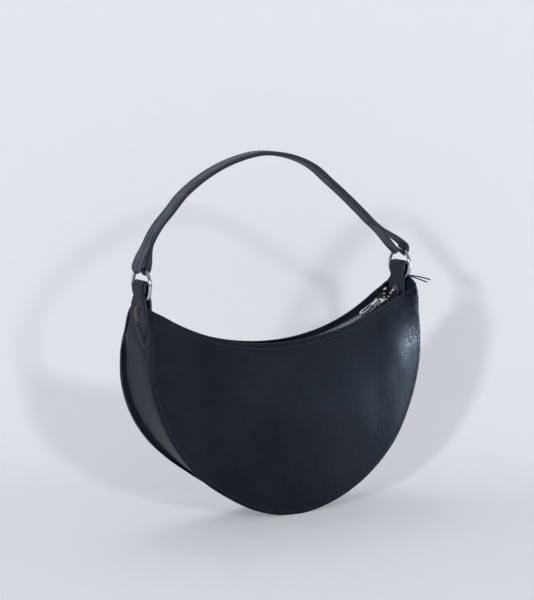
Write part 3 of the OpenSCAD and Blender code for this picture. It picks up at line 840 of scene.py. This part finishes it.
LINING_END = 0.2
inner_line = [p.copy() for p in strap_line]
inner_line[0] += LINING_END * strap_turns[0]
inner_line[-1] -= LINING_END * strap_turns[-1]
s = Shape()
band(s, shifted(inner_line, -STRAP_T / 2))
s.make("strap_under_leather", "handle", [lining, edge, lining], ["strap_lining"],
       sharp=60)

# Strap seams: along both edges on both faces, and across at both ends

ON_FACE = 0.02
STRAP_SEAM_IN = 2.4
STRAP_SEAM_Y = STRAP_W / 2 - STRAP_SEAM_IN
CROSS_SEAM_AT = 2
STRAP_FACES = ((STRAP_T + ON_FACE, 1), (-STRAP_T - ON_FACE, -1))


def strap_normal(t, sign):
    """Direction out of the strap's outer or inner face, at a tangent of its line."""
    return (sign * turned(t).x, 0, sign * turned(t).y)


s = Shape()
for level, sign in STRAP_FACES:
    line = shifted(strap_line, level)
    normals = [strap_normal(t, sign) for t in tangents(line)]
    for y in (-STRAP_SEAM_Y, STRAP_SEAM_Y):
        stitches(s, [wrapped(p.x, p.y, y) for p in line], normals,
                 pitch=3.6, length=2.7, radius=0.33, lift=0.1)
for k in (CROSS_SEAM_AT, len(strap_line) - 1 - CROSS_SEAM_AT):
    for level, sign in STRAP_FACES:
        p = shifted(strap_line, level)[k]
        stitches(s, [(p.x, y, p.y) for y in (-STRAP_SEAM_Y, 0, STRAP_SEAM_Y)],
                 [strap_normal(strap_turns[k], sign)] * 3, pitch=3.4, length=2.6, radius=0.3)
s.make("strap_stitches", "handle", [thread])

# Rim seams on the panels and on the flanges' backs, and zip seams

RIM_SEAM_IN = 3.6
RIM_SEAM_R = PANEL_R - RIM_SEAM_IN
RIM_SEAM_A, BACK_SEAM_A, RIM_SEAM_STEPS = 110, 95, 280
RIM_SEAM_END = 5
ZIP_SEAM_X, ZIP_SEAM_STEPS, ZIP_SEAM_DROP = 126, 160, 4.2
PROBE = 0.5

s = Shape()
for side in (-1, 1):
    for back in (False, True):
        line, normals = [], []
        for i in range(RIM_SEAM_STEPS + 1):
            a = math.radians(-RIM_SEAM_A + 2 * RIM_SEAM_A * i / RIM_SEAM_STEPS)
            x, z = RIM_SEAM_R * math.sin(a), BODY_CZ - RIM_SEAM_R * math.cos(a)
            if z > mouth_z(x) - RIM_SEAM_END or (back and abs(math.degrees(a)) > BACK_SEAM_A):
                continue
            depth = 2 * LEATHER + SEAM + ON_FACE if back else -ON_FACE
            line.append((x, side * (wall(side, x, z) - depth), z))
            gx = (wall(side, x + PROBE, z) - wall(side, x - PROBE, z)) / (2 * PROBE)
            gz = (wall(side, x, z + PROBE) - wall(side, x, z - PROBE)) / (2 * PROBE)
            n = Vector((-gx, side, -gz))
            normals.append(-n if back else n)
        stitches(s, line, normals, pitch=4.3, length=3.1, radius=0.42, lift=0.22)
    line, normals = [], []
    for i in range(ZIP_SEAM_STEPS + 1):
        x = -ZIP_SEAM_X + 2 * ZIP_SEAM_X * i / ZIP_SEAM_STEPS
        z = mouth_z(x) - ZIP_SEAM_DROP
        line.append((x, side * (wall(side, x, z) + ON_FACE), z))
        gz = wall(side, x, z + PROBE) - wall(side, x, z - PROBE)
        normals.append((0, side, -gz))
    stitches(s, line, normals, pitch=3.4, length=2.6, radius=0.28)
s.make("panel_stitches", "bag", [thread])

# Two loose thread ends at the right tab: their root, and each one's tip and rise

THREAD_ROOT, THREAD_R, THREAD_STEPS = Vector((134.6, -8.0, 197.0)), 0.6, 12
THREAD_ENDS = (((144.8, -28.2, 194.4), 0.6), ((142.6, -26.6, 192.0), 0.2))

s = Shape()
for tip, rise in THREAD_ENDS:
    line = []
    for i in range(THREAD_STEPS + 1):
        t = i / THREAD_STEPS
        line.append(THREAD_ROOT.lerp(Vector(tip), t) + Vector((0, 0, rise * math.sin(math.pi * t))))
    tube(s, line, THREAD_R, sides=8)
s.make("thread_ends", "bag", [thread])

# Rings

RING_STEPS, WIRE_STEPS = 112, 24

for side, name in ((-1, "left_ring"), (1, "right_ring")):
    s = Shape()
    big, small = RING_D / 2 + WIRE / 2, WIRE / 2
    points = []
    for i in range(RING_STEPS):
        a = 2 * math.pi * i / RING_STEPS
        for k in range(WIRE_STEPS):
            b = 2 * math.pi * k / WIRE_STEPS
            r = big + small * math.cos(b)
            x = side * SNAP_X + small * math.sin(b)
            points.append((x, r * math.sin(a), RING_Z + r * math.cos(a)))
    faces = []
    for i in range(RING_STEPS):
        here, there = i * WIRE_STEPS, (i + 1) % RING_STEPS * WIRE_STEPS
        for k in range(WIRE_STEPS):
            n = (k + 1) % WIRE_STEPS
            faces.append((here + k, there + k, there + n, here + n))
    s.add(points, faces)
    s.make(name + "_wire", name, [steel], [name])

# Zip tapes: they follow the chain from START to END, and part beyond TAIL, in degrees

START, END, TAIL = -25.52, 31.29, 29.7
TAPE_STEPS, FLAT_STEPS, FOOT_STEPS = 140, 5, 4
TAPE_NEAR, TAPE_FAR, TAPE_DROP, TAPE_TURN = 3.55, 12.5, 14, 0.8
TAPE_CLEAR, LEAST_DROP = 0.15, 1.5
TAIL_SPREAD, TAIL_RISE = 4, 5
TAPE_SAG, TAPE_RIPPLE, SAG_FROM, SAG_OVER = 0.5, 0.15, 5.2, 3
RIPPLE_X, RIPPLE_Y = 0.2, 2
TAPE_HALF_T = 0.35


def tape(side):
    """Upper and lower face of a tape: nearly flat beside the chain, then down along the panel."""
    faces = ([], [])
    for i in range(TAPE_STEPS + 1):
        a = START + (END - START) * i / TAPE_STEPS
        share = clamp((a - TAIL) / (END - TAIL))
        part, rise = TAIL_SPREAD * share**2, TAIL_RISE * share**2
        x = CHAIN_R * math.sin(math.radians(a))
        z = MOUTH_CZ - CHAIN_R * math.cos(math.radians(a))
        near = TAPE_NEAR + part
        edge_y = wall(side, x, z) - LEATHER - SEAM
        flat = min(edge_y - TAPE_CLEAR, near + TAPE_FAR)
        low = z - max(LEAST_DROP, TAPE_DROP - (flat - near))
        foot = wall(side, x, low) - LEATHER - SEAM
        profile = [(near, z + rise)]
        for k in range(1, FLAT_STEPS + 1):
            t = k / FLAT_STEPS
            y = near + (flat - TAPE_TURN - near) * t
            ripple = noise.noise(Vector((x * RIPPLE_X, t * RIPPLE_Y, side)))
            sag = TAPE_SAG * math.sin(math.pi * t) + TAPE_RIPPLE * ripple
            sag *= ease((y - SAG_FROM - part) / SAG_OVER)
            profile.append((y, z + rise * (1 - share) * t + rise * (1 - t) - sag))
        for k in range(1, FOOT_STEPS + 1):
            t = k / FOOT_STEPS
            profile.append((flat + (foot - edge_y) * t, z - TAPE_TURN + (low - z + TAPE_TURN) * t))
        for face, inset in zip(faces, (TAPE_HALF_T, -TAPE_HALF_T)):
            face.append([
                (x, side * y, height + inset) if k <= FLAT_STEPS
                else (x, side * (y - (TAPE_HALF_T - inset)), height)
                for k, (y, height) in enumerate(profile)
            ])
    return faces


for side, name in ((-1, "front"), (1, "rear")):
    s = Shape()
    slab(s, *tape(side), slots=(0, 0, 0))
    s.make(f"zip_{name}_weave", "bag", [weave], ["zip_tape_" + name], sharp=60)

# Metal pieces that keep their CAD shape

FINISHES = {"snap_cap": (dark_cap, "snap_enamel"), "snap": (gunmetal, "snap_steel"),
            "zip": (silver, "zip_metal")}
METAL_SHARP, METAL_ROUND = 35, 40
TOOTH_EDGE_R, METAL_EDGE_R = 0.18, 0.22

for name, o in nodes.items():
    if o.hide_render:
        continue
    finish, slot = next(FINISHES[kind] for kind in FINISHES if kind in name)
    o.data.materials.clear()
    o.data.materials.append(finish)
    o.data.shade_smooth()
    o.data.set_sharp_from_angle(angle=math.radians(METAL_SHARP))
    bevel(o, TOOTH_EDGE_R if "teeth" in name else METAL_EDGE_R, METAL_ROUND)

# A thin rim round each snap's cap
SNAP_RIM_R, SNAP_RIM_T, SNAP_RIM_OUT, SNAP_RIM_STEPS = 5.75, 0.42, 0.45, 48

for side, name in ((-1, "left"), (1, "right")):
    s = Shape()
    x = side * (SNAP_X + POCKET + LEATHER + SNAP_RIM_OUT)
    ring = []
    for i in range(SNAP_RIM_STEPS + 1):
        a = 2 * math.pi * i / SNAP_RIM_STEPS
        ring.append((x, SNAP_RIM_R * math.cos(a), SNAP_Z + SNAP_RIM_R * math.sin(a)))
    tube(s, ring, SNAP_RIM_T, sides=10)
    s.make(name + "_snap_rim", "bag", [gunmetal])

# Stage, in metres: a pale floor, and a sheet that sweeps up into a wall behind the bag

AHEAD = Vector((-math.sin(math.radians(AZIMUTH)), math.cos(math.radians(AZIMUTH)), 0))
SIDEWAYS = Vector((math.cos(math.radians(AZIMUTH)), math.sin(math.radians(AZIMUTH)), 0))
SWEEP_FROM, SWEEP_R, SWEEP_STEPS, SWEEP_LIFT = 0.05, 0.2, 40, 0.0001
STAGE_HALF, WALL_TOP = 4.0, 3.0
PALE = (0.76, 0.785, 0.825, 1)
BACKDROP = (0.78, 0.79, 0.81, 1)
GLOW = 0.27
SKY, SKY_STRENGTH = (0.86, 0.92, 1.0, 1), 0.24


def stage_piece(name, line, casts):
    """A sheet right across the stage, along a line of (distance ahead of the bag, height)."""
    mesh = bpy.data.meshes.new(name)
    points = [tuple(AHEAD * f + SIDEWAYS * c * STAGE_HALF + Vector((0, 0, z)))
              for f, z in line for c in (-1, 1)]
    faces = [(2 * i, 2 * i + 1, 2 * i + 3, 2 * i + 2) for i in range(len(line) - 1)]
    mesh.from_pydata(points, [], faces)
    mesh.shade_smooth()
    o = bpy.data.objects.new(name, mesh)
    bpy.context.scene.collection.objects.link(o)
    o.visible_shadow = casts
    m, tree, bsdf = material(name)
    bsdf.inputs["Base Color"].default_value = BACKDROP
    bsdf.inputs["Roughness"].default_value = 0.6
    bsdf.inputs["Specular IOR Level"].default_value = 0.2
    bsdf.inputs["Emission Color"].default_value = PALE
    seen = tree.nodes.new("ShaderNodeLightPath").outputs["Is Camera Ray"]
    tree.links.new(math_node(tree, "MULTIPLY", seen, GLOW), bsdf.inputs["Emission Strength"])
    if not casts:
        clear = tree.nodes.new("ShaderNodeBsdfTransparent")
        one_way = tree.nodes.new("ShaderNodeMixShader")
        behind = tree.nodes.new("ShaderNodeNewGeometry").outputs["Backfacing"]
        for socket, source in zip(one_way.inputs, (behind, bsdf.outputs[0], clear.outputs[0])):
            tree.links.new(source, socket)
        tree.links.new(one_way.outputs[0], tree.nodes["Material Output"].inputs["Surface"])
    mesh.materials.append(m)


stage_piece("floor", [(-STAGE_HALF, 0), (STAGE_HALF, 0)], True)
sweep = []
for i in range(SWEEP_STEPS + 1):
    a = math.pi / 2 * i / SWEEP_STEPS
    sweep.append((SWEEP_FROM + SWEEP_R * math.sin(a), SWEEP_LIFT + SWEEP_R * (1 - math.cos(a))))
stage_piece("backdrop", sweep + [(SWEEP_FROM + SWEEP_R, WALL_TOP)], False)

world = bpy.data.worlds.new("studio")
bpy.context.scene.world = world
world.use_nodes = True
tree = world.node_tree
seen = tree.nodes.new("ShaderNodeLightPath").outputs["Is Camera Ray"]
sky = tree.nodes["Background"]
sky.inputs[0].default_value = SKY
sky.inputs[1].default_value = SKY_STRENGTH
pale = tree.nodes.new("ShaderNodeBackground")
pale.inputs[0].default_value = PALE
mix = tree.nodes.new("ShaderNodeMixShader")
for socket, source in zip(mix.inputs, (seen, sky.outputs[0], pale.outputs[0])):
    tree.links.new(source, socket)
tree.links.new(mix.outputs[0], tree.nodes["World Output"].inputs["Surface"])

# Lights, in metres, watts and degrees


def light(name, azimuth, elevation, away, size, power, colour, aim=(0, 0, 0.13), beam=180):
    """Area light seen from the bag at an azimuth and an elevation, as the camera's are measured."""
    data = bpy.data.lights.new(name, "AREA")
    data.shape = "RECTANGLE"
    data.size, data.size_y = size
    data.energy = power
    data.color = colour
    data.spread = math.radians(beam)
    o = bpy.data.objects.new(name, data)
    out = towards(azimuth, elevation)
    o.location = Vector(aim) + away * out
    o.rotation_euler = (-out).to_track_quat("-Z", "Y").to_euler()
    o.visible_camera = False
    bpy.context.scene.collection.objects.link(o)


light("key_left", azimuth=-57.5, elevation=19, away=3.1, size=(0.24, 0.24), power=25,
      colour=(0.98, 0.985, 1.0))
light("key_right", azimuth=-12.5, elevation=20.5, away=2.1, size=(0.17, 0.17), power=11,
      colour=(0.98, 0.985, 1.0))
light("side", azimuth=62, elevation=-1, away=1.1, size=(0.06, 0.26), power=0.052,
      colour=(0.74, 0.87, 1.0), aim=(0.135, -0.02, 0.115), beam=9.5)
light("top", azimuth=170, elevation=62, away=1.3, size=(0.9, 0.7), power=2.2,
      colour=(0.95, 0.97, 1.0))

bpy.context.scene.view_settings.view_transform = "Standard"
